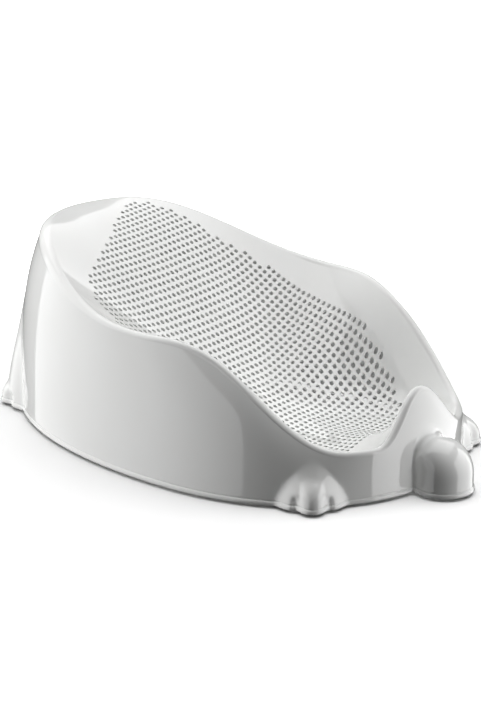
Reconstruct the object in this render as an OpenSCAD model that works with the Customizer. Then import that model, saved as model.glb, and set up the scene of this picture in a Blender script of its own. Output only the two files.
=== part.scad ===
// Baby bath support: one moulded shell with a perforated cradle, standing on four soft pads.
// +X is the width, +Y points to the head end, +Z is up, and the pads rest on Z = 0.
// Heights are measured from the shell's bottom edge, which the pads hold off the floor.

/* [Shell] */
// Width of the wall at its bottom edge
shell_w = 348; // [310:2:380]
// Length of the wall at its bottom edge, without the front dome
shell_l = 526; // [480:2:580]
// Distance from the rear end of the wall to its widest place
widest_from_rear = 318; // [290:1:340]
// Squareness of the plan outline towards the foot end, where 2 is an ellipse
front_power = 2.2; // [2:0.05:2.4]
// Wall thickness of the moulding
wall = 2.8; // [2.2:0.1:3.4]
// Height of the bead along the bottom edge
lip_h = 4; // [2:0.5:6]
// How far the bead along the bottom edge stands out
lip_out = 1.4; // [0.8:0.2:2.4]

/* [Rim] */
// Radius of the rounded rim at the sides and the foot end
rim_r = 5; // [4:0.5:7]
// Radius of the broad rolled rim at the head
head_roll_r = 13; // [8:0.5:15]
// Inset of the rim's outer line from the bottom edge at the sides
rim_side_in = 9; // [6:0.5:16]
// Inset of the rim's outer line from the bottom edge at the head end
rim_head_in = 38; // [26:1:50]
// Inset of the rim's outer line from the bottom edge at the foot end
rim_front_in = 3.5; // [3:0.5:12]
// Squareness of the rim's plan outline towards the foot end
rim_front_power = 2.85; // [2.4:0.05:3]
// How far the rim draws in on each side in front of its widest place
waist_in = 13; // [4:1:18]
// Height of the rim's top at the head end
head_h = 210; // [188:1:228]
// Height of the rim's top at the sides
side_h = 149.5; // [138:0.5:158]
// Height of the rim's top in the two leg dips
dip_h = 52.8; // [46:0.2:64]
// Height of the rim's top on the pommel
pommel_h = 101; // [88:1:114]
// Width of the pommel at its foot
pommel_w = 137; // [116:1:150]
// How far the rim steps back on the pommel
pommel_back = 7; // [2:0.5:10]
// Distance from the front end of the wall to the level stretch of the side rim
side_from_front = 224; // [200:1:250]
// Distance from the front end of the wall to the leg dips
dip_from_front = 28; // [20:1:40]

/* [Cradle] */
// Height of the seat's lowest place
seat_h = 24; // [18:1:32]
// Distance from the front end of the wall to the seat's lowest place
seat_from_front = 90; // [76:1:104]

/* [Drain holes] */
// Diameter of a drain hole
hole_d = 5; // [3:0.5:8]
// Spacing of the hole columns across the cradle
column_pitch = 25; // [24:0.5:32]
// Spacing of the hole rows along the cradle
row_pitch = 25.5; // [24.5:0.5:32]
// Width of the oval field of holes
field_w = 250; // [210:2:256]
// Length of the oval field of holes
field_l = 380; // [300:2:384]
// Distance from the front end of the wall to the field of holes
field_from_front = 69; // [67:1:90]
// Angle of the slanting edge that the field has at the head
field_slant = 28; // [0:1:35]
// Distance from the field's rear end to the slanting edge, on the centre line
slant_from_rear = 30; // [0:1:60]

/* [Front dome] */
// How far the dome stands out of the front wall
dome_out = 47; // [36:1:52]
// Radius of the dome
dome_r = 30; // [26:1:35]
// Height of the dome
dome_h = 52; // [44:1:64]
// Height of the dome's round top
dome_round = 28; // [20:1:32]

/* [Feet] */
// Height of a front foot
front_foot_h = 35; // [30:1:44]
// Height of a rear foot
rear_foot_h = 90; // [80:1:110]
// Outline angle of the front feet, from the head end
front_foot_a = 136.5; // [130:0.5:142]
// Outline angle of the rear feet, from the head end
rear_foot_a = 24; // [20:0.5:34]
// Width of a foot along the wall
foot_w = 70; // [64:1:78]
// How far a foot stands out of the wall
foot_out = 17; // [14:0.5:20]
// Radius of the middle toe
toe_r = 15; // [12:0.5:16]
// How far the middle toe stands out past the foot
toe_out = 5.5; // [4:0.5:8]
// Height of the middle toe
toe_h = 21; // [17:1:26]
// Radius of the two grooves beside the middle toe
groove_r = 3.5; // [3:0.5:4.5]
// Height of the two grooves
groove_h = 18; // [12:1:20]
// Thickness of the sole that closes a foot
sole_t = 3; // [2.4:0.2:4]

/* [Pads] */
// Height of a pad, which is how far the shell stands off the floor
pad_h = 3.5; // [2.5:0.5:6]
// Radius of a pad
pad_r = 8.5; // [6.5:0.5:9.5]
// Radius of the stem that goes up through the sole
stem_r = 3; // [2:0.5:4]
// Length of the stem past the sole
stem_past = 4; // [3:0.5:6]
// Clearance round the stem and over the sole
stem_gap = 0.2; // [0.1:0.1:0.4]

/* [Hidden] */
$fn = 48;

shell_c = "#f2f2f2";
pad_c = "#3a3a3c";

rear_y = (shell_l + dome_out)/2;
front_y = rear_y - shell_l;
mid_y = rear_y - widest_from_rear;
side_y = front_y + side_from_front;
dip_y = front_y + dip_from_front;
seat_y = front_y + seat_from_front;
head_y = rear_y - rim_head_in - head_roll_r;

// The loft has this many columns round the shell.
columns = 96;
// The rim's section turns from upright outside, over the top, to the slope of the cradle inside.
// It ends level where the cradle meets it flat at the head, and steep along the sides.
flat_end = 96;
steep_end = 164;
steep_depth = 60;
rim_steps = 7;
// The rim's plan is widest further back than the wall, and the head end of both is near an ellipse.
rim_mid_y = mid_y + 47;
head_power = 1.95;
waist_start = 10;
waist_over = 100;
// Exponents of the curves of the rim's height, the wall's flare and the backrest's sweep.
back_power = 1.45;
drop_power = 1.3;
flare_power = 3;
sweep_power = 1.15;
// The cradle's side mixes a soft dish with a steep side, with more dish towards the head.
dish_power = 1.7;
side_power = 8;
least_dish = 0.2;
dish_from = front_y + 40;
dish_over = 240;
// Shares of the way down the wall, and from the middle of the cradle to its edge.
wall_shares = [1, 0.8, 0.62, 0.46, 0.32, 0.19, 0.08];
cradle_shares = [0.985, 0.955, 0.915, 0.87, 0.81, 0.74, 0.65, 0.55, 0.44, 0.33, 0.22, 0.11];
// Rows of the skin that the underside follows.
under_rows = [2, 4, 6, 8, 9, 11, 13, 15, 16, 18, 20, 22, 24, 26];

// A foot is a dome of revolution about an upright axis behind the wall.
foot_r = (foot_w*foot_w/4 + foot_out*foot_out)/(2*foot_out);
foot_axis_in = foot_r - foot_out;
toe_axis_out = foot_out + toe_out - toe_r;
groove_side = toe_r + groove_r*0.6;
groove_axis_out = sqrt(foot_r*foot_r - groove_side*groove_side) - foot_axis_in + groove_r*0.3;
groove_taper = 0.5;
front_foot_power = 2;
rear_foot_power = 1.5;
foot_steps = 10;
toe_straight = 0.2;
toe_steps = 6;
dome_steps = 7;
dome_y = front_y - dome_out + dome_r;
// How far a foot and the space inside it reach in, past the wall and into the hollow.
root_in = 18;
// The bead round a foot and the dome is a little lower than the wall's, so that it tucks under it.
foot_lip_h = lip_h*0.8;
pad_edge = 1;
stem_head_r = stem_r + 0.9;
field_y = front_y + field_from_front + field_l/2;
field_power = 2.6;

function clamp01(t) = min(max(t, 0), 1);
function ease(t) = let(u = clamp01(t)) u*u*(3 - 2*u);
function unit(v) = v/norm(v);
function turn(i) = 360*i/columns;

// Direction at angle a on a superellipse of size 1, where power 2 is a circle.
function squircle(a, power) =
    [sin(a), cos(a)]/pow(pow(abs(sin(a)), power) + pow(abs(cos(a)), power), 1/power);

// Plan outlines at angle a, measured from the head end towards +X.
function wall_xy(a) =
    let(back = cos(a) > 0, q = squircle(a, back ? head_power : front_power),
        reach = back ? widest_from_rear : shell_l - widest_from_rear)
    [shell_w/2*q.x, mid_y + reach*q.y];
function rim_xy(a) =
    let(back = cos(a) > 0, q = squircle(a, back ? head_power : rim_front_power),
        reach = back ? rear_y - rim_head_in - rim_mid_y : rim_mid_y - front_y - rim_front_in,
        y = rim_mid_y + reach*q.y,
        x = (shell_w/2 - rim_side_in - waist_in*ease((rim_mid_y - waist_start - y)/waist_over))*q.x)
    [x, y + (back ? 0 : pommel_back*mound(x))];
function outward(p, q) = let(t = q - p) unit([-t.y, t.x]);

// Height of the rim's top: head, sides, leg dips and the pommel's mound.
function mound(x) = abs(x) < pommel_w/2 ? pow(cos(180*x/pommel_w), 2) : 0;
function head_share(y) = ease(pow(clamp01((y - side_y)/(head_y - side_y)), back_power));
function rim_h(p) =
    let(drop = ease(pow(clamp01((side_y - p.y)/(side_y - dip_y)), drop_power)))
    side_h + (head_h - side_h)*head_share(p.y) - (side_h - dip_h)*drop
        + (pommel_h - dip_h)*drop*mound(p.x);

// Height of the cradle on its centre line, one sweep from the seat to the head.
function centre_h(y) =
    seat_h + (head_h - seat_h)*ease(pow(clamp01((y - seat_y)/(head_y - seat_y)), sweep_power));

// The lines that the skin follows, one value a column, with the roll's radius and its last angle.
rows = [0:columns - 1];
wall_line = [for (i = rows) wall_xy(turn(i))];
wall_normal = [for (i = rows) outward(wall_xy(turn(i) - 1), wall_xy(turn(i) + 1))];
rim_line = [for (i = rows) rim_xy(turn(i))];
rim_normal = [for (i = rows) outward(rim_xy(turn(i) - 1), rim_xy(turn(i) + 1))];
rim_top = [for (p = rim_line) rim_h(p)];
roll_r = [for (p = rim_line) rim_r + (head_roll_r - rim_r)*head_share(p.y)];
roll_end = [for (i = rows) flat_end
    + (steep_end - flat_end)*ease((rim_top[i] - centre_h(rim_line[i].y))/steep_depth)];

function roll_point(i, t) =
    let(r = roll_r[i], a = roll_end[i]*t, p = rim_line[i] - rim_normal[i]*r*(1 - cos(a)))
    [p.x, p.y, rim_top[i] - r*(1 - sin(a))];
function wall_point(i, v) =
    let(top = roll_point(i, 0), low = wall_line[i], f = 1 - pow(1 - v, flare_power))
    [top.x + (low.x - top.x)*f, top.y + (low.y - top.y)*f, top.z + (lip_h + lip_out - top.z)*v];
function lip_point(i, z) = let(p = wall_line[i] + wall_normal[i]*lip_out) [p.x, p.y, z];
function cradle_point(i, s) =
    let(edge = roll_point(i, 1), y = mid_y + (edge.y - mid_y)*s,
        dish = least_dish + (1 - least_dish)*ease((edge.y - dish_from)/dish_over),
        rise = dish*pow(s, dish_power) + (1 - dish)*pow(s, side_power))
    [edge.x*s, y, centre_h(y) + (edge.z - centre_h(edge.y))*rise];

// Outer skin as rings of points, from the bottom edge over the rim to the middle of the cradle.
skin = concat(
    [[for (i = rows) lip_point(i, 0)]],
    [[for (i = rows) lip_point(i, lip_h)]],
    [for (v = wall_shares) [for (i = rows) wall_point(i, v)]],
    [for (k = [0:rim_steps]) [for (i = rows) roll_point(i, k/rim_steps)]],
    [for (s = cradle_shares) [for (i = rows) cradle_point(i, s)]]);
first_wall = 2;

// A point of the skin moved in by the wall, along the skin's own normal.
function inward(j, i) =
    let(du = skin[j][(i + 1)%columns] - skin[j][(i + columns - 1)%columns],
        low = max(j - 1, first_wall), high = min(j + 1, len(skin) - 1),
        dv = skin[high][i] - skin[low][i])
    skin[j][i] - unit(cross(dv, du))*wall;
// Underside of the moulding, open at the bottom.
under = concat(
    [[for (i = rows) let(p = wall_line[i] - wall_normal[i]*wall) [p.x, p.y, -1]]],
    [for (j = under_rows) [for (i = rows) inward(j, i)]]);

// Closed body from rings of points: a flat cap under the first ring and a tip over the last.
module ringed(rings, tip) {
    n = len(rings[0]);
    m = len(rings);
    points = concat([for (r = rings) each r], [tip, [0, mid_y, rings[0][0].z]]);
    sides = [for (j = [0:m - 2]) for (i = [0:n - 1])
        let(a = j*n + i, b = j*n + (i + 1)%n, c = b + n, d = a + n) each [[a, b, c], [a, c, d]]];
    top = [for (i = [0:n - 1]) [(m - 1)*n + i, (m - 1)*n + (i + 1)%n, m*n]];
    cap = [for (i = [0:n - 1]) [(i + 1)%n, i, m*n + 1]];
    polyhedron(points, concat(sides, top, cap), convexity = 10);
}

// Moves a shape to the wall at outline angle a, on side 1 or -1, with +Y pointing outwards.
module at_wall(a, side) {
    p = wall_xy(a);
    n = outward(wall_xy(a - 1), wall_xy(a + 1));
    translate([p.x*side, p.y, 0]) rotate([0, 0, atan2(-n.x*side, n.y)]) children();
}

// Half outline of a foot's bulge, from its foot ring up to where it has sunk behind the wall.
function foot_profile(h, power, in) =
    let(top = 1.15*h, base = in > 0 ? [[0, sole_t], [foot_radius(sole_t, h, power) - in, sole_t]]
        : [[0, 0], [foot_r + lip_out, 0], [foot_r + lip_out, foot_lip_h]], low = foot_lip_h + lip_out)
    concat(base, [for (k = [0:foot_steps]) let(z = low + (top - low)*k/foot_steps)
        [foot_radius(z, h, power) - in, z]], [[0, top]]);
function foot_radius(z, h, power) = foot_r - foot_out*pow(z/h, power);

// Half outline of the middle toe, rounded off from just above the bottom edge.
function toe_profile(in) =
    let(r = toe_r - in, base = in > 0 ? sole_t : 0, start = toe_h*toe_straight)
    concat([[0, base], [r, base]],
        [for (k = [0:toe_steps]) let(a = 90*k/toe_steps)
            [r*cos(a), start + (toe_h - in - start)*sin(a)]]);

module foot_outer(h, power) {
    intersection() {
        translate([0, -foot_axis_in, 0]) rotate_extrude() polygon(foot_profile(h, power, 0));
        translate([-foot_w, -root_in, -1]) cube([2*foot_w, foot_w, 2*h]);
    }
    translate([0, toe_axis_out, 0]) rotate_extrude() polygon(toe_profile(0));
}

module grooves(grow) {
    for (s = [-1, 1])
        translate([s*groove_side, groove_axis_out, -1])
            cylinder(h = groove_h + 1 + grow, r1 = groove_r + grow, r2 = groove_r*groove_taper + grow);
}

module foot_inner(h, power) {
    difference() {
        union() {
            intersection() {
                translate([0, -foot_axis_in, 0]) rotate_extrude() polygon(foot_profile(h, power, wall));
                translate([-foot_w, -root_in, 0]) cube([2*foot_w, foot_w, 2*h]);
            }
            translate([0, toe_axis_out, 0]) rotate_extrude() polygon(toe_profile(wall));
        }
        grooves(wall);
    }
}

// The dome is a round-topped column that stands half out of the front wall.
function dome_profile(in) =
    let(r = dome_r - in, start = dome_h - dome_round)
    concat(in > 0 ? [[0, -1], [r, -1]] : [[0, 0], [r + lip_out, 0], [r + lip_out, foot_lip_h], [r, foot_lip_h + lip_out]],
        [for (k = [0:dome_steps]) let(a = 90*k/dome_steps)
            [r*cos(a), start + (dome_round - in)*sin(a)]]);
module dome(in) translate([0, dome_y, 0]) rotate_extrude() polygon(dome_profile(in));

module all_feet() {
    for (side = [-1, 1]) {
        at_wall(front_foot_a, side) children(0);
        at_wall(rear_foot_a, side) children(1);
    }
}

// The drain holes fill an oval field in straight rows, cut off by a slanting edge at the head.
function in_field(x, y) =
    pow(abs(x)/(field_w/2), field_power) + pow(abs(y)/(field_l/2), field_power) <= 1
    && y <= field_l/2 - slant_from_rear + x*tan(field_slant);
module drain_holes() {
    across = floor(field_w/2/column_pitch);
    along = floor(field_l/2/row_pitch);
    for (i = [-across:across], j = [-along:along])
        if (in_field(i*column_pitch, j*row_pitch))
            translate([i*column_pitch, field_y + j*row_pitch, seat_h - wall - 10])
                cylinder(h = head_h, d = hole_d, $fn = 24);
}

module all_feet() {
    for (side = [-1, 1]) {
        at_wall(front_foot_a, side) children(0);
        at_wall(rear_foot_a, side) children(1);
    }
}

module shell() {
    color(shell_c) translate([0, 0, pad_h]) difference() {
        union() {
            ringed(skin, [0, mid_y, centre_h(mid_y)]);
            all_feet() {
                foot_outer(front_foot_h, front_foot_power);
                foot_outer(rear_foot_h, rear_foot_power);
            }
            dome(0);
        }
        ringed(under, [0, mid_y, centre_h(mid_y) - wall]);
        all_feet() {
            foot_inner(front_foot_h, front_foot_power);
            foot_inner(rear_foot_h, rear_foot_power);
        }
        all_feet() {
            union() {
                grooves(0);
                pad_bore();
            }
            union() {
                grooves(0);
                pad_bore();
            }
        }
        dome(wall);
        drain_holes();
    }
}

// A soft pad sits under the middle toe, held by a stem with a wider head above the sole.
module pad_bore() {
    translate([0, toe_axis_out, -1]) cylinder(h = sole_t + 2, r = stem_r + stem_gap);
}
module pad() {
    translate([0, toe_axis_out, 0]) rotate_extrude() polygon([
        [0, 0], [pad_r - pad_edge, 0], [pad_r, pad_edge], [pad_r, pad_h], [stem_r, pad_h],
        [stem_r, pad_h + sole_t + stem_gap], [stem_head_r, pad_h + sole_t + stem_gap],
        [stem_r, pad_h + sole_t + stem_past], [0, pad_h + sole_t + stem_past]]);
}

module pad_front_left() color(pad_c) at_wall(front_foot_a, -1) pad();
module pad_front_right() color(pad_c) at_wall(front_foot_a, 1) pad();
module pad_rear_left() color(pad_c) at_wall(rear_foot_a, -1) pad();
module pad_rear_right() color(pad_c) at_wall(rear_foot_a, 1) pad();

shell();
pad_front_left();
pad_front_right();
pad_rear_left();
pad_rear_right();
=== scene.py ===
"""Studio picture of a white moulded baby bath support with a perforated cradle."""

import math

import bmesh
import bpy
import numpy as np
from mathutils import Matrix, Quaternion, Vector


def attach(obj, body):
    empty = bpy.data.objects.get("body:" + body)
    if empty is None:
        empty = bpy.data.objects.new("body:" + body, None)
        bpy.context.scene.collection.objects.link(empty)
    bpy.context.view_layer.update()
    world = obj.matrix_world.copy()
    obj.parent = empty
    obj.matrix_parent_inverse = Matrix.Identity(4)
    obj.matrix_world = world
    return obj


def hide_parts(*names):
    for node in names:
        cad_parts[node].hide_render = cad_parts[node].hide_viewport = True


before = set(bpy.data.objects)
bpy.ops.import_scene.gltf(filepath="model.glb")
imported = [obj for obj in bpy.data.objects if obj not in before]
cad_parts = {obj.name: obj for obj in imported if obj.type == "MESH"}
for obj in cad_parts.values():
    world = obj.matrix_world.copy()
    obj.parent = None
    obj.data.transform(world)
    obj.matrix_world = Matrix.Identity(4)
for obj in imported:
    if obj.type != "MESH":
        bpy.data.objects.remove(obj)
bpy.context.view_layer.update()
scene = bpy.context.scene
MM = 0.001

# Sizes of the moulding in millimetres. Heights count from the shell's bottom edge. The feet are a
# little slimmer than the solid's. The dome has small fillets, and the solid's meets the wall sharply.
PAD_HEIGHT = 3.5
WALL = 2.8
SHELL_WIDTH = 348
SHELL_LENGTH = 526
DOME_OUT = 47
REAR_Y = (SHELL_LENGTH + DOME_OUT) / 2
FRONT_Y = REAR_Y - SHELL_LENGTH
MID_Y = REAR_Y - 318
LIP_HEIGHT = 4
LIP_OUT = 1.3
WALL_LOW = LIP_HEIGHT + LIP_OUT
FLARE_POWER = 3

# Powers of the half ovals that make the plan outlines. 2 is an ellipse, and more is squarer.
HEAD_POWER = 1.95
WALL_FOOT_POWER = 2.2
RIM_FOOT_POWER = 2.85

RIM_RADIUS = 5
HEAD_ROLL_RADIUS = 13
RIM_SIDE_IN = 9
RIM_MID_Y = MID_Y + 47
RIM_REAR_Y = REAR_Y - 38
RIM_FRONT_Y = FRONT_Y + 3.5
WAIST_Y = RIM_MID_Y - 10
WAIST_LENGTH = 100
WAIST_IN = 13
HEAD_Y = RIM_REAR_Y - HEAD_ROLL_RADIUS
SIDE_Y = FRONT_Y + 224
DIP_Y = FRONT_Y + 28
SEAT_Y = FRONT_Y + 90
HEAD_HEIGHT = 209.9
SIDE_HEIGHT = 149.5
DIP_HEIGHT = 52.8
SEAT_HEIGHT = 24
POMMEL_HEIGHT = 101
POMMEL_WIDTH = 137
POMMEL_BACK = 7

# How late the rim climbs to the head, drops to the foot end, and the cradle climbs to the head.
HEAD_SWEEP = 1.45
DIP_SWEEP = 1.3
CRADLE_SWEEP = 1.15

# The rim rolls over by the first number of degrees, and by up to the second more where the cradle
# lies ROLL_FALL or more below it.
ROLL_TURN = 96
ROLL_MORE = 68
ROLL_FALL = 60

# The cradle is nearly flat across at the seat, with steep sides, and dished right across at the head.
DISH_LEAST = 0.2
DISH_START = 40
DISH_LENGTH = 240
DISH_POWER = 1.7
STEEP_POWER = 8

FOOT_TURNS = (math.radians(24), math.radians(136.5))
FOOT_HEIGHTS = (90, 36)
FOOT_POWERS = (1.5, 1.8)
FOOT_OUT = 17
FOOT_WIDTH = 62
FOOT_RADIUS = (FOOT_WIDTH**2 / 4 + FOOT_OUT**2) / (2 * FOOT_OUT)
FOOT_AXIS_IN = FOOT_RADIUS - FOOT_OUT
FOOT_FILLET = 8
FOOT_REACH_IN = 60
TOE_RADIUS = 12.5
TOE_HEIGHT = 22
TOE_AXIS_OUT = FOOT_OUT + 5.5 - TOE_RADIUS
TOE_FILLET = 3
TOE_LEAN = 7.5
TOE_LEAN_TOP = 40
TOE_LEAN_POWER = 3
BESIDE_TOE_IN = 30
GROOVE_WIDTH = 10
GROOVE_TOP = 17
GROOVE_FADE = 9
GROOVE_DEPTH = 3.5
GROOVE_SIDE = 16
GROOVE_FALL = 1.4

DOME_RADIUS = 30
DOME_HEIGHT = 52
DOME_ROUND = 34
DOME_AXIS_OUT = DOME_OUT - DOME_RADIUS
DOME_SIDE_FILLET = 3
DOME_TOP_FILLET = 9
DOME_LANDING = 29
# The dome's rows sink beside it to a share of their rise and are level again ARCH_SPREAD away. They
# stay BELOW_RIM under the rim's upright side.
ARCH_LEAST = 0.1
ARCH_SPREAD = 55
BELOW_RIM = 6

# How finely the curves are followed before the columns are spaced along them.
TURN_SAMPLES = 20001
BEND_SAMPLES = 400
QUARTER_SAMPLES = 30
BORDER_SAMPLES = 721
# Steps between the shell's columns. Each pair is a distance from a foot's middle and the step within.
COLUMN_STEP = 6.5
FOOT_COLUMN_STEPS = ((46, 3.2), (26, 1.2), (11, 2.4))
DOME_COLUMNS = 26
# The lip's rows: height, and the share of the lip's own reach that each stands out.
LIP_ROWS = ((0, 0.6), (0.7, 1), (3.4, 1), (4.1, 0.6), (4.7, -0.5))
LOW_ROWS = 10
DOME_ROWS = 14
FILLET_ROWS = 4
UPPER_ROWS = (0.1, 0.2, 0.3, 0.4, 0.5, 0.6, 0.7, 0.79, 0.87, 0.93, 0.975, 0.995)
ROLL_ROWS = (0, 0.03, 0.1, 0.2, 0.32, 0.44, 0.56, 0.68, 0.8, 0.9, 1)
CRADLE_ROWS = (0.03, 0.08, 0.15, 0.25, 0.37, 0.5, 0.65, 0.82, 1)

# The drain holes stand in nearly square rows. Along and across steps, and one hole to count from,
# with its place in the net's columns and rows.
HOLE_RADIUS = 2.35
HOLE_SIDES = 8
HOLE_INSET = 0.9
ACROSS_STEP = np.array((7.159, 0.144))
ALONG_STEP = np.array((0.108, 6.999))
FIRST_HOLE = np.array((95.47, 28.0))
FIRST_HOLE_CELL = (34.5, 33.5)
NET_CELLS = (42, 62)

# The drain field's half width at places along the cradle, from the foot end to the head, and a
# point and the slope of the edge that cuts it off there.
FIELD_Y = (-164, -156, -148, -130, -105, -86, -50, 70, 98, 116, 150, 180, 204)
FIELD_HALF = (52, 72, 95, 103, 111, 119, 126, 126, 120, 110, 98, 84, 62)
FIELD_CUT = (41, 203)
FIELD_CUT_SLOPE = 0.53
# Two ovals round the field: the net is trimmed to the inner one, and the skin ends at the outer.
FIELD_MID_Y = 19
FIELD_POWER = 2.5
NET_HALF = (130, 194)
BORDER_HALF = (137, 201)
# The net and the skin are joined flat at this height, well below the shell.
FLAT = -50
# Points closer than this are one point.
DOUBLE = 0.0005

# The camera of the photograph's view: its lens in millimetres, its place in metres, then degrees.
LENS = 136.28
CAMERA_PLACE = (-2.0876, -1.7334, 0.9610)
CAMERA_DOWN = 17.902
CAMERA_TURN = -50.191
# Lamps that light a surface aim at this height over the floor.
AIM_HEIGHT = 0.1


def ease(t):
    """A soft step from 0 to 1."""
    u = np.clip(t, 0, 1)
    return u * u * (3 - 2 * u)


def sweep(t, power):
    """A soft step that starts later the higher the power."""
    return ease(np.clip(t, 0, 1) ** power)


def smooth_max(a, b, width):
    """The larger of two heights, with a fillet of this width where they cross."""
    near = np.maximum(width - np.abs(a - b), 0) / width
    return np.maximum(a, b) + near * near * width / 4


def running(steps):
    """The running sum of steps, from zero."""
    return np.concatenate(((0,), np.cumsum(steps)))


def polar(x, y):
    """Turn and distance of a place in plan, seen from the middle of the wall's plan."""
    return np.arctan2(x, y - MID_Y) % (2 * np.pi), np.hypot(x, y - MID_Y)


def squircle(turn, power):
    """Points of a rounded square between a circle and a box."""
    size = (np.abs(np.sin(turn)) ** power + np.abs(np.cos(turn)) ** power) ** (1 / power)
    return np.stack((np.sin(turn) / size, np.cos(turn) / size), -1)


def two_ovals(turn, foot_power, rear_y, mid_y, front_y):
    """Which turns are at the head end, and the share across and the place along of two half ovals."""
    back = np.cos(turn) > 0
    q = np.where(back[:, None], squircle(turn, HEAD_POWER), squircle(turn, foot_power))
    reach = np.where(back, rear_y - mid_y, mid_y - front_y)
    return back, q[:, 0], mid_y + reach * q[:, 1]


def wall_line(turn):
    """Plan outline of the wall's bottom edge. A turn of 0 is the head end and grows towards +X."""
    _, across, y = two_ovals(turn, WALL_FOOT_POWER, REAR_Y, MID_Y, FRONT_Y)
    return np.stack((SHELL_WIDTH / 2 * across, y), -1)


def mound(x):
    """The pommel's rise across the foot end, from 0 to 1."""
    return np.where(np.abs(x) < POMMEL_WIDTH / 2, np.cos(np.pi * x / POMMEL_WIDTH) ** 2, 0)


def rim_line(turn):
    """Plan outline of the rim's outermost line."""
    back, across, y = two_ovals(turn, RIM_FOOT_POWER, RIM_REAR_Y, RIM_MID_Y, RIM_FRONT_Y)
    half = SHELL_WIDTH / 2 - RIM_SIDE_IN - WAIST_IN * ease((WAIST_Y - y) / WAIST_LENGTH)
    x = half * across
    return np.stack((x, y + np.where(back, 0, POMMEL_BACK * mound(x))), -1)


def outward(line):
    """Unit normals of a closed plan outline, pointing out."""
    along = np.roll(line, -1, 0) - np.roll(line, 1, 0)
    normal = np.stack((-along[:, 1], along[:, 0]), -1)
    return normal / np.linalg.norm(normal, axis=1, keepdims=True)


def head_share(y):
    """How far the rim has climbed from its sides to the head."""
    return sweep((y - SIDE_Y) / (HEAD_Y - SIDE_Y), HEAD_SWEEP)


def rim_height(line):
    """Height of the rim's top over its outermost line."""
    drop = sweep((SIDE_Y - line[:, 1]) / (SIDE_Y - DIP_Y), DIP_SWEEP)
    rise = (POMMEL_HEIGHT - DIP_HEIGHT) * drop * mound(line[:, 0])
    head = (HEAD_HEIGHT - SIDE_HEIGHT) * head_share(line[:, 1])
    return SIDE_HEIGHT + head - (SIDE_HEIGHT - DIP_HEIGHT) * drop + rise


def centre_height(y):
    """Height of the cradle on its centre line, one sweep from the seat to the head."""
    rise = sweep((y - SEAT_Y) / (HEAD_Y - SEAT_Y), CRADLE_SWEEP)
    return SEAT_HEIGHT + (HEAD_HEIGHT - SEAT_HEIGHT) * rise


def dome_columns(start):
    """Evenly spaced points round half the dome's foot, and how far along each is.

    The line leaves the wall at a turn of start with a fillet and ends at the dome's front.
    """
    root = math.asin((DOME_SIDE_FILLET - DOME_AXIS_OUT) / DOME_RADIUS)
    bend = np.linspace(root, np.pi / 2, BEND_SAMPLES)
    across = DOME_RADIUS * np.cos(bend)
    out = DOME_AXIS_OUT + DOME_RADIUS * np.sin(bend)
    quarter = np.linspace(0, np.pi / 2, QUARTER_SAMPLES)[:-1]
    back = FRONT_Y - wall_line(np.array((start, start)))[0, 1]
    fillet_x = DOME_LANDING - (DOME_LANDING - across[0]) * np.sin(quarter)
    fillet_out = back + (DOME_SIDE_FILLET - back) * (1 - np.cos(quarter))
    path_x = np.concatenate((fillet_x, across))
    path_out = np.concatenate((fillet_out, out))
    along = running(np.hypot(np.diff(path_x), np.diff(path_out)))
    even = np.linspace(0, along[-1], DOME_COLUMNS + 1)[1:]
    plan = np.column_stack((np.interp(even, along, path_x), FRONT_Y - np.interp(even, along, path_out)))
    return plan, even / along[-1]


def spaced_turns():
    """Turns of the shell's columns and the plan line that their lowest points stand on."""
    turn = np.linspace(0, np.pi, TURN_SAMPLES)
    line = wall_line(turn)
    length = running(np.linalg.norm(np.diff(line, axis=0), axis=1))
    spacing = np.full(len(turn), COLUMN_STEP)
    for foot in FOOT_TURNS:
        off = np.abs(length - np.interp(foot, turn, length))
        for distance, step in FOOT_COLUMN_STEPS:
            spacing = np.where(off < distance, step, spacing)
    count = running(np.diff(length) / spacing[1:])
    front = turn > np.pi / 2
    dome_start = np.interp(-DOME_LANDING, -line[front, 0], turn[front])
    stop = np.interp(dome_start, turn, count)
    side = np.interp(np.linspace(0, stop, int(stop) + 1), count, turn)
    dome, share = dome_columns(dome_start)
    dome_turn = np.interp(-DOME_LANDING * (1 - share), -line[front, 0], turn[front])

    half = np.concatenate((side, dome_turn))
    base = np.concatenate((wall_line(side), dome))
    half[-1] = np.pi
    base[-1, 0] = 0
    other = half[-2:0:-1]
    return np.concatenate((half, 2 * np.pi - other)), np.concatenate((base, base[-2:0:-1] * (-1, 1)))


turns, base_plan = spaced_turns()
wall_plan = wall_line(turns)
rim_plan = rim_line(turns)
rim_out = outward(rim_plan)
rim_top = rim_height(rim_plan)
roll_radius = RIM_RADIUS + (HEAD_ROLL_RADIUS - RIM_RADIUS) * head_share(rim_plan[:, 1])
roll_fall = (rim_top - centre_height(rim_plan[:, 1])) / ROLL_FALL
roll_end = np.radians(ROLL_TURN + ROLL_MORE * ease(roll_fall))


def roll_points(share):
    """The rim's section, from upright outside, over the top, to the cradle's slope."""
    angle = roll_end * share
    plan = rim_plan - rim_out * (roll_radius * (1 - np.cos(angle)))[:, None]
    return np.column_stack((plan, rim_top - roll_radius * (1 - np.sin(angle))))


cradle_edge = roll_points(1)
edge_turn, edge_reach = polar(cradle_edge[:, 0], cradle_edge[:, 1])
edge_order = np.argsort(edge_turn)


def cradle_height(x, y):
    """Height of the cradle's top over any point inside the rim."""
    turn, reach = polar(x, y)
    edge = (np.interp(turn, edge_turn[edge_order], v[edge_order], period=2 * np.pi) for v in cradle_edge.T)
    edge_x, edge_y, edge_z = edge
    s = reach / polar(edge_x, edge_y)[1]
    dish = DISH_LEAST + (1 - DISH_LEAST) * ease((edge_y - FRONT_Y - DISH_START) / DISH_LENGTH)
    rise = dish * s**DISH_POWER + (1 - dish) * s**STEEP_POWER
    return centre_height(y) + (edge_z - centre_height(edge_y)) * rise


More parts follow.
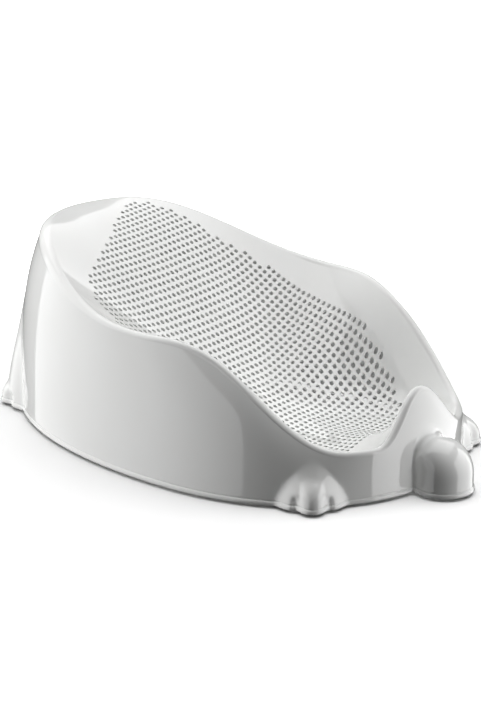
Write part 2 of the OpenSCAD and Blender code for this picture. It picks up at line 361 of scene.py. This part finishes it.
def with_foot(points, k, side):
    """Pushes wall points out to a foot's bulge, its middle toe and the grooves beside it."""
    turn = FOOT_TURNS[k]
    line = wall_line(np.array((turn - 0.01, turn, turn + 0.01))) * (side, 1)
    across = (line[2] - line[0]) / np.linalg.norm(line[2] - line[0])
    out = np.array((-across[1], across[0])) * side
    local = points[..., :2] - line[1]
    t, n, z = local @ across, local @ out, points[..., 2]
    radius = FOOT_RADIUS - FOOT_OUT * (np.maximum(z, 0) / FOOT_HEIGHTS[k]) ** FOOT_POWERS[k]
    bulge = np.sqrt(np.maximum(radius**2 - t**2, 0)) - FOOT_AXIS_IN
    near = (radius > np.abs(t)) & (n > -FOOT_REACH_IN)
    lean = TOE_LEAN * (np.clip(z, 0, TOE_LEAN_TOP) / TOE_HEIGHT) ** TOE_LEAN_POWER
    toe = TOE_AXIS_OUT + np.sqrt(np.maximum(TOE_RADIUS**2 - t**2, 0))
    toe = toe - BESIDE_TOE_IN * (TOE_RADIUS <= np.abs(t))
    full = smooth_max(smooth_max(n, bulge, FOOT_FILLET), toe - lean, TOE_FILLET)
    beside = (np.abs(t) - GROOVE_SIDE) * 2 / GROOVE_WIDTH
    groove = GROOVE_DEPTH * np.exp(-GROOVE_FALL * beside**2) * ease((GROOVE_TOP - z) / GROOVE_FADE)
    push = np.where(near, np.maximum(full - groove, n) - n, 0)
    moved = points.copy()
    moved[..., :2] += push[..., None] * out
    return moved


def quarter_turn(count):
    """Angles up to a right angle, without its start."""
    return np.linspace(0, np.pi / 2, count + 1)[1:]


def wall_rows():
    """Rings of the outer wall, from the lip up to the rim, round the feet and the dome."""
    top = roll_points(0)
    landing = np.abs(wall_plan[:, 0])
    front = wall_plan[:, 1] < MID_Y
    inside = np.where(front, np.minimum(landing / DOME_LANDING, 1), 1)
    arch = np.maximum(np.sqrt(1 - inside**2), ARCH_LEAST)
    away = np.where(front, landing - DOME_LANDING, ARCH_SPREAD)
    arch = np.where(away > 0, ARCH_LEAST + (1 - ARCH_LEAST) * ease(away / ARCH_SPREAD), arch)
    fit = (top[:, 2] - WALL_LOW - BELOW_RIM) / (DOME_HEIGHT + DOME_TOP_FILLET - WALL_LOW)
    fit = np.minimum(1, fit)
    # The dome is where the base line stands away from the wall's. Its top fillet is half of that at most.
    reach = np.linalg.norm(base_plan - wall_plan, axis=1)
    fillet = np.minimum(DOME_TOP_FILLET, reach * 0.5) / np.maximum(reach, 0.001)

    low = DOME_HEIGHT - DOME_ROUND
    heights = [np.full(len(turns), z) for z in np.linspace(WALL_LOW, low, LOW_ROWS)]
    shares = [np.ones(len(turns)) for _ in heights]
    for a in quarter_turn(DOME_ROWS):
        heights.append(low + DOME_ROUND * arch * np.sin(a))
        shares.append(fillet + (1 - fillet) * max(np.cos(a), 0))
    for a in quarter_turn(FILLET_ROWS):
        heights.append(low + DOME_ROUND * arch + DOME_TOP_FILLET * (1 - np.cos(a)))
        shares.append(fillet * (1 - np.sin(a)))
    heights = [WALL_LOW + (h - WALL_LOW) * fit for h in heights]
    start = heights[-1]
    for share in UPPER_ROWS:
        heights.append(start + (top[:, 2] - start) * share)
        shares.append(np.zeros(len(turns)))

    rows = [np.column_stack((base_plan, np.full(len(turns), z))) for z, _ in LIP_ROWS]
    for z, share in zip(heights, shares):
        v = (top[:, 2] - z) / (top[:, 2] - WALL_LOW)
        plan = top[:, :2] + (wall_plan - top[:, :2]) * (1 - (1 - v) ** FLARE_POWER)[:, None]
        plan = plan + (base_plan - plan) * np.where(reach > 0.01, share, 0)[:, None]
        rows.append(np.column_stack((plan, z)))
    rows = np.array(rows)
    for side in (-1, 1):
        for k in range(2):
            rows = with_foot(rows, k, side)
    for row, (_, proud) in zip(rows, LIP_ROWS):
        row[:, :2] += outward(row[:, :2]) * LIP_OUT * proud
    return rows


def in_field(x, y):
    """Whether a hole's place lies in the drain field, which one slanting edge cuts off at the head."""
    half = np.interp(y, FIELD_Y, FIELD_HALF, left=0, right=0)
    return (np.abs(x) < half) & (y < FIELD_CUT[1] + (x - FIELD_CUT[0]) * FIELD_CUT_SLOPE)


def field_border(turn):
    """A smooth line in plan round the field of holes."""
    q = squircle(turn, FIELD_POWER)
    return np.stack((BORDER_HALF[0] * q[:, 0], FIELD_MID_Y + BORDER_HALF[1] * q[:, 1]), -1)


def skin_rows():
    """Rings of points from the bottom edge, over the rim, down to the border of the drain field."""
    roll = [roll_points(share) for share in ROLL_ROWS]
    border = field_border(np.linspace(0, 2 * np.pi, BORDER_SAMPLES)[:-1])
    border_turn, border_reach = polar(border[:, 0], border[:, 1])
    order = np.argsort(border_turn)
    stop = np.interp(edge_turn, border_turn[order], border_reach[order], period=2 * np.pi)
    cradle = []
    for share in CRADLE_ROWS:
        scale = 1 + (stop / edge_reach - 1) * share
        x = cradle_edge[:, 0] * scale
        y = MID_Y + (cradle_edge[:, 1] - MID_Y) * scale
        cradle.append(np.column_stack((x, y, cradle_height(x, y))))
    return np.concatenate((wall_rows(), roll, cradle))


def lay_grid(bm, columns, rows, place):
    """A grid of so many cells, each point of which goes to the place of its column and row."""
    verts = bmesh.ops.create_grid(bm, x_segments=columns, y_segments=rows, size=1)["verts"]
    co = np.array([v.co[:2] for v in verts])
    low, high = co.min(0), co.max(0)
    for v, (i, j) in zip(verts, np.rint((co - low) / (high - low) * (columns, rows)).astype(int)):
        v.co = place(i, j)
    return verts


def net_corner(i, j):
    """Place of a corner of the net's cells."""
    column, row = FIRST_HOLE_CELL
    return (*(FIRST_HOLE + (i - column) * ACROSS_STEP + (j - row) * ALONG_STEP), FLAT)


def lay_skin(bm):
    """Lays the skin from the bottom edge to the field's border, and returns the edges there."""
    rows = skin_rows()
    skin = lay_grid(bm, len(turns), len(rows) - 1, lambda i, j: rows[j, i % len(turns)])
    bmesh.ops.remove_doubles(bm, verts=skin, dist=DOUBLE)
    return [e for e in bm.edges if e.is_boundary and e.verts[0].co.z > WALL_LOW]


def lay_net(bm):
    """Lays the flat perforated net, one cell to a hole, and returns the edges round it."""
    net = lay_grid(bm, *NET_CELLS, net_corner)
    middles = {f: f.calc_center_median() for v in net for f in v.link_faces}
    outside = []
    for f, m in middles.items():
        across, along = abs(m.x) / NET_HALF[0], abs(m.y - FIELD_MID_Y) / NET_HALF[1]
        if across**FIELD_POWER + along**FIELD_POWER > 1:
            outside.append(f)
    bmesh.ops.delete(bm, geom=outside, context="FACES")
    kept = [f for f in middles if f.is_valid]
    cells = [f for f in kept if in_field(middles[f].x, middles[f].y)]
    bmesh.ops.subdivide_edges(bm, edges=list({e: None for f in kept for e in f.edges}), cuts=1)
    bmesh.ops.inset_individual(bm, faces=cells, thickness=HOLE_INSET, use_even_offset=True)
    step = 2 * math.pi / HOLE_SIDES
    for f in cells:
        for v in f.verts:
            side = v.co.xy - middles[f].xy
            angle = round(math.atan2(side.y, side.x) / step) * step
            v.co.xy = middles[f].xy + HOLE_RADIUS * Vector((math.cos(angle), math.sin(angle)))
    ring = [e for e in bm.edges if e.is_boundary and e.verts[0].co.z < FLAT / 2]
    bmesh.ops.delete(bm, geom=cells, context="FACES_ONLY")
    return ring


def build_shell():
    """The shell's outer face. Net and skin are joined flat, and that part takes the cradle's height."""
    bm = bmesh.new()
    inner_ring = lay_skin(bm)
    outer_ring = lay_net(bm)
    for e in inner_ring:
        for v in e.verts:
            v.co.z = FLAT
    bmesh.ops.triangle_fill(bm, use_beauty=True, edges=inner_ring + outer_ring, normal=(0, 0, 1))
    panel = [v for v in bm.verts if v.co.z < FLAT / 2]
    place = np.array([v.co[:2] for v in panel])
    for v, z in zip(panel, cradle_height(place[:, 0], place[:, 1])):
        v.co.z = z
    bmesh.ops.recalc_face_normals(bm, faces=bm.faces)
    for v in bm.verts:
        v.co = (v.co.x * MM, v.co.y * MM, (v.co.z + PAD_HEIGHT) * MM)
    return bm


def finish_shell(bm):
    """Makes the shell's object, smooth but for the edges of holes and lip, and gives it its wall."""
    for e in bm.edges:
        e.smooth = not e.is_boundary
    for f in bm.faces:
        f.smooth = True
    mesh = bpy.data.meshes.new("moulded_shell")
    bm.to_mesh(mesh)
    bm.free()
    piece = bpy.data.objects.new("moulded_shell", mesh)
    scene.collection.objects.link(piece)
    wall = piece.modifiers.new("wall", "SOLIDIFY")
    wall.thickness = WALL * MM
    wall.offset = -1
    return piece


def linear(hex_colour):
    """A linear RGBA from an sRGB hex value."""
    parts = [int(hex_colour[i : i + 2], 16) / 255 for i in (1, 3, 5)]
    return (*(p / 12.92 if p < 0.04045 else ((p + 0.055) / 1.055) ** 2.4 for p in parts), 1)


def node(tree, kind, settings=None, values=None, links=None):
    """Adds a shader node with its settings, its socket values and the sockets that feed it."""
    made = tree.nodes.new(kind)
    for name, value in (settings or {}).items():
        setattr(made, name, value)
    for name, value in (values or {}).items():
        made.inputs[name].default_value = value
    for name, source in (links or {}).items():
        tree.links.new(source, made.inputs[name])
    return made


def fresh(name):
    """A new material and its empty node tree."""
    material = bpy.data.materials.new(name)
    material.use_nodes = True
    material.node_tree.nodes.clear()
    return material, material.node_tree


def moulded_polypropylene():
    """White polypropylene, injection moulded against a polished tool: glossy, a little uneven.

    The slow waves, about 70 mm apart, are sink and flow of a wide thin wall and bend reflections.
    The fine grain, about 0.7 mm, is drawn coarser than a real polish so that it still softens them.
    """
    material, tree = fresh("moulded_white_polypropylene")
    place = node(tree, "ShaderNodeTexCoord").outputs["Object"]
    sink = node(tree, "ShaderNodeTexNoise", values={"Scale": 14, "Detail": 2, "Roughness": 0.4},
                links={"Vector": place})
    flow = node(tree, "ShaderNodeTexNoise", values={"Scale": 1400, "Detail": 2, "Roughness": 0.5},
                links={"Vector": place})
    tint = node(tree, "ShaderNodeMix", {"data_type": "RGBA"},
                {"A": linear("#f1f1ef"), "B": linear("#f6f7f6")}, {"Factor": sink.outputs["Fac"]})
    gloss = node(tree, "ShaderNodeMapRange", values={"To Min": 0.05, "To Max": 0.09},
                 links={"Value": flow.outputs["Fac"]})
    waves = node(tree, "ShaderNodeBump", values={"Strength": 1, "Distance": 0.0004},
                 links={"Height": sink.outputs["Fac"]})
    grain = node(tree, "ShaderNodeBump", values={"Strength": 0.25, "Distance": 0.00001},
                 links={"Height": flow.outputs["Fac"], "Normal": waves.outputs["Normal"]})
    plastic = node(tree, "ShaderNodeBsdfPrincipled", values={"IOR": 1.49},
                   links={"Base Color": tint.outputs["Result"], "Roughness": gloss.outputs["Result"],
                          "Normal": grain.outputs["Normal"]})
    node(tree, "ShaderNodeOutputMaterial", links={"Surface": plastic.outputs["BSDF"]})
    return material


def moulded_rubber():
    """Dark thermoplastic rubber, moulded against an eroded tool, which leaves it matt.

    Its grain is drawn at about 0.6 mm, coarser than a real one, so that it shows.
    """
    material, tree = fresh("moulded_grey_rubber")
    place = node(tree, "ShaderNodeTexCoord").outputs["Object"]
    grain = node(tree, "ShaderNodeTexNoise", values={"Scale": 1800, "Detail": 3, "Roughness": 0.6},
                 links={"Vector": place})
    tint = node(tree, "ShaderNodeMix", {"data_type": "RGBA"},
                {"A": linear("#37383a"), "B": linear("#444547")}, {"Factor": grain.outputs["Fac"]})
    dull = node(tree, "ShaderNodeMapRange", values={"To Min": 0.55, "To Max": 0.7},
                links={"Value": grain.outputs["Fac"]})
    rough = node(tree, "ShaderNodeBump", values={"Strength": 0.6, "Distance": 0.00006},
                 links={"Height": grain.outputs["Fac"]})
    rubber = node(tree, "ShaderNodeBsdfPrincipled", values={"IOR": 1.52},
                  links={"Base Color": tint.outputs["Result"], "Roughness": dull.outputs["Result"],
                         "Normal": rough.outputs["Normal"]})
    node(tree, "ShaderNodeOutputMaterial", links={"Surface": rubber.outputs["BSDF"]})
    return material


def studio_paper():
    """Seamless paper with fibres of about 1 mm, which make it matt.

    The camera sees it white with the object's soft shadow, and from 0.35 m out it glows up to an
    even white. The shell's gloss sees it dim.
    """
    material, tree = fresh("white_studio_paper")
    place = node(tree, "ShaderNodeTexCoord").outputs["Object"]
    fibre = node(tree, "ShaderNodeTexNoise", values={"Scale": 900, "Detail": 2}, links={"Vector": place})
    tint = node(tree, "ShaderNodeMix", {"data_type": "RGBA"},
                {"A": linear("#f4f4f4"), "B": linear("#f7f7f7")}, {"Factor": fibre.outputs["Fac"]})
    seen = node(tree, "ShaderNodeLightPath").outputs["Is Camera Ray"]
    paper = node(tree, "ShaderNodeBsdfDiffuse", links={"Color": tint.outputs["Result"]})
    away = node(tree, "ShaderNodeVectorMath", {"operation": "LENGTH"}, links={0: place})
    fade = node(tree, "ShaderNodeMapRange", {"interpolation_type": "SMOOTHSTEP"},
                {"From Min": 0.35, "From Max": 0.8, "To Min": 0, "To Max": 1.2},
                {"Value": away.outputs["Value"]})
    glow = node(tree, "ShaderNodeEmission", links={"Strength": fade.outputs["Result"]})
    white = node(tree, "ShaderNodeAddShader", links={0: paper.outputs[0], 1: glow.outputs[0]})
    dim = node(tree, "ShaderNodeBsdfDiffuse", values={"Color": (0.15, 0.15, 0.15, 1)})
    both = node(tree, "ShaderNodeMixShader", links={0: seen, 1: dim.outputs[0], 2: white.outputs[0]})
    node(tree, "ShaderNodeOutputMaterial", links={"Surface": both.outputs[0]})
    return material


def camera_to_photo():
    """The camera stands at the foot end's left, well above the head's height, and looks down."""
    data = bpy.data.cameras.new("camera")
    data.lens = LENS
    data.sensor_width = 36
    data.clip_end = 50
    camera = bpy.data.objects.new("camera", data)
    camera.location = CAMERA_PLACE
    camera.rotation_euler = (math.radians(90 - CAMERA_DOWN), 0, math.radians(CAMERA_TURN))
    scene.collection.objects.link(camera)
    scene.camera = camera


def softbox(name, turn, height, distance, size, power, seen_in_gloss=True, lights=True, roll=0):
    """A softbox turned to the object. A turn of 0 stands at the foot end and -50 by the camera."""
    data = bpy.data.lights.new(name, "AREA")
    data.shape = "RECTANGLE"
    data.size, data.size_y = size
    data.energy = power
    lamp = bpy.data.objects.new(name, data)
    angle = math.radians(turn)
    lamp.location = (math.sin(angle) * distance, -math.cos(angle) * distance, height)
    aim = Vector((0, 0, AIM_HEIGHT if lights else height)) - lamp.location
    facing = aim.to_track_quat("-Z", "Y") @ Quaternion((0, 0, 1), math.radians(roll))
    lamp.rotation_euler = facing.to_euler()
    lamp.visible_camera = False
    lamp.visible_glossy = seen_in_gloss
    lamp.visible_diffuse = lights
    scene.collection.objects.link(lamp)
    return lamp


def lit_alone(name, lamps, pieces):
    """Lets these lamps light these pieces and nothing else."""
    lit = bpy.data.collections.new(name)
    for piece in pieces:
        lit.objects.link(piece)
    for lamp in lamps:
        lamp.light_linking.receiver_collection = lit


def paper_floor():
    """A sheet of white paper, wider than any view."""
    bm = bmesh.new()
    bmesh.ops.create_grid(bm, x_segments=8, y_segments=8, size=6)
    mesh = bpy.data.meshes.new("paper_floor")
    bm.to_mesh(mesh)
    bm.free()
    floor = bpy.data.objects.new("paper_floor", mesh)
    mesh.materials.append(studio_paper())
    floor.visible_glossy = False
    scene.collection.objects.link(floor)
    return floor


def dim_room():
    """A dim room that the camera sees as white."""
    world = bpy.data.worlds.new("studio_room")
    scene.world = world
    world.use_nodes = True
    tree = world.node_tree
    tree.nodes.clear()
    seen = node(tree, "ShaderNodeLightPath").outputs["Is Camera Ray"]
    shade = node(tree, "ShaderNodeMix", {"data_type": "RGBA"},
                 {"A": (0.05, 0.05, 0.05, 1), "B": (1, 1, 1, 1)}, {"Factor": seen})
    room = node(tree, "ShaderNodeBackground", links={"Color": shade.outputs["Result"]})
    node(tree, "ShaderNodeOutputWorld", links={"Surface": room.outputs["Background"]})


def studio(object_pieces):
    """White paper and a dim room. Keys light the shell and tall panels are what its gloss shows.

    The shell's lamps leave the paper to a lamp of its own, straight above, for a close soft shadow.
    The right key casts none, so that the wall stays light right up to the dome.
    """
    floor = paper_floor()
    dim_room()
    overhead = softbox("overhead_softbox", turn=130, height=2, distance=0.8, size=(2.9, 2.9), power=54)
    left_key = softbox("left_key", turn=-142, height=0.6, distance=2, size=(0.7, 0.9), power=32,
                       seen_in_gloss=False)
    right_key = softbox("right_key", turn=27, height=0.3, distance=2, size=(1.2, 0.9), power=17,
                        seen_in_gloss=False)
    right_key.data.use_shadow = False
    lit_alone("lit_moulding", (overhead, left_key, right_key), object_pieces)
    softbox("left_panel", turn=-131, height=-0.14, distance=1.6, size=(3.46, 4), power=62,
            lights=False, roll=-26)
    softbox("right_panel", turn=40, height=0.2, distance=1.6, size=(2.7, 2.4), power=72, lights=False)
    above = softbox("paper_softbox", turn=0, height=1.6, distance=0.01, size=(3.4, 3.4), power=71,
                    seen_in_gloss=False)
    lit_alone("lit_paper", (above,), (floor,))


shell = finish_shell(build_shell())
shell.data.materials.append(moulded_polypropylene())
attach(shell, "root")
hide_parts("shell")

rubber = moulded_rubber()
pads = [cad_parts[f"pad_{end}_{side}"] for end in ("front", "rear") for side in ("left", "right")]
for pad in pads:
    pad.data.materials.clear()
    pad.data.materials.append(rubber)

camera_to_photo()
studio([shell, *pads])
scene.view_settings.view_transform = "Standard"
